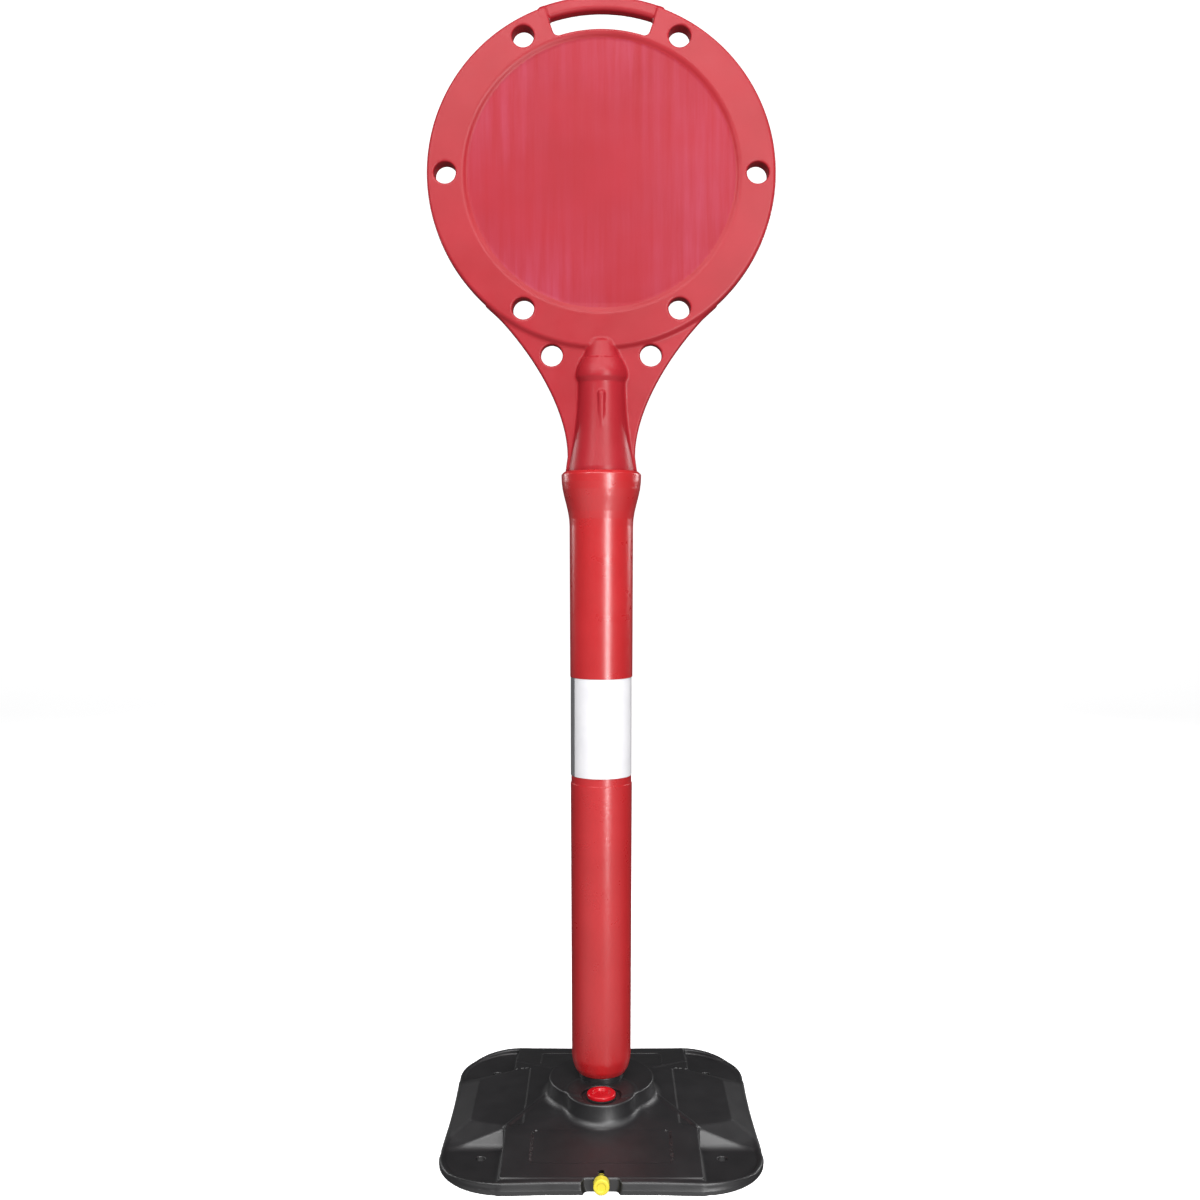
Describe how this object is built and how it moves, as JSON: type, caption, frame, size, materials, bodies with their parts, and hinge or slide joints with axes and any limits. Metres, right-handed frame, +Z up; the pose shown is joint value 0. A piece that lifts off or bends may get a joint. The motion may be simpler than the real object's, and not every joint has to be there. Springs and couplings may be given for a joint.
{
  "type": "stop slow paddle",
  "caption": "Round traffic paddle on a tubular post with a white band, standing in a square fillable base, with a hand grip and lift-out head.",
  "frame": {"origin": "centre of the base's underside, on the ground, under the post's axis", "axes": "+Z up along the post, -Y out of the front with the filler cap and the drain plug, +X to the right seen from the front"},
  "size_m": [0.4, 0.352, 1.2949],
  "materials": {
    "red_shell": "satin blow-moulded polyethylene with a fine grain",
    "white_band": "smooth white reflective film",
    "black_shell": "satin black blow-moulded polyethylene",
    "cap_red": "injection-moulded red",
    "plug_yellow": "injection-moulded yellow",
    "seal_rubber": "matt black rubber",
    "water": "clear water"
  },
  "bodies": {
    "base": {"base_shell": "black_shell", "ballast_water": "water"},
    "spigot": {"post_spigot": "black_shell"},
    "post": {"post": "red_shell", "reflective_band": "white_band"},
    "head": {"sign_head": "red_shell"},
    "filler_seal": {"filler_gasket": "seal_rubber"},
    "filler": {"filler_cap": "cap_red"},
    "drain_seal": {"drain_gasket": "seal_rubber"},
    "drain": {"drain_plug": "plug_yellow"}
  },
  "joints": [
    {"name": "post_lift", "type": "slide", "parent": "base", "child": "spigot", "axis": [0, 0, 1], "range_m": [0, 0.05]},
    {"name": "post_turn", "type": "hinge", "parent": "spigot", "child": "post", "pos_m": [0, 0, 0.057], "axis": [0, 0, 1], "continuous": true},
    {"name": "head_lift", "type": "slide", "parent": "post", "child": "head", "axis": [0, 0, 1], "range_m": [0, 0.12]},
    {"name": "filler_cap_lift", "type": "slide", "parent": "base", "child": "filler_seal", "axis": [0, 0, 1], "range_m": [0, 0.014]},
    {"name": "filler_cap_turn", "type": "hinge", "parent": "filler_seal", "child": "filler", "pos_m": [0, -0.053, 0.05], "axis": [0, 0, 1], "range_deg": [0, 1260]},
    {"name": "drain_plug_pull", "type": "slide", "parent": "base", "child": "drain_seal", "axis": [0, -1, 0], "range_m": [0, 0.012]},
    {"name": "drain_plug_turn", "type": "hinge", "parent": "drain_seal", "child": "drain", "pos_m": [0, -0.17, 0.0103], "axis": [0, -1, 0], "range_deg": [0, 1440]}
  ],
  "couplings": [
    {"joint": "filler_cap_turn", "follows": "filler_cap_lift", "rad_per_m": 1570.8},
    {"joint": "drain_plug_turn", "follows": "drain_plug_pull", "rad_per_m": 2094.4}
  ]
}
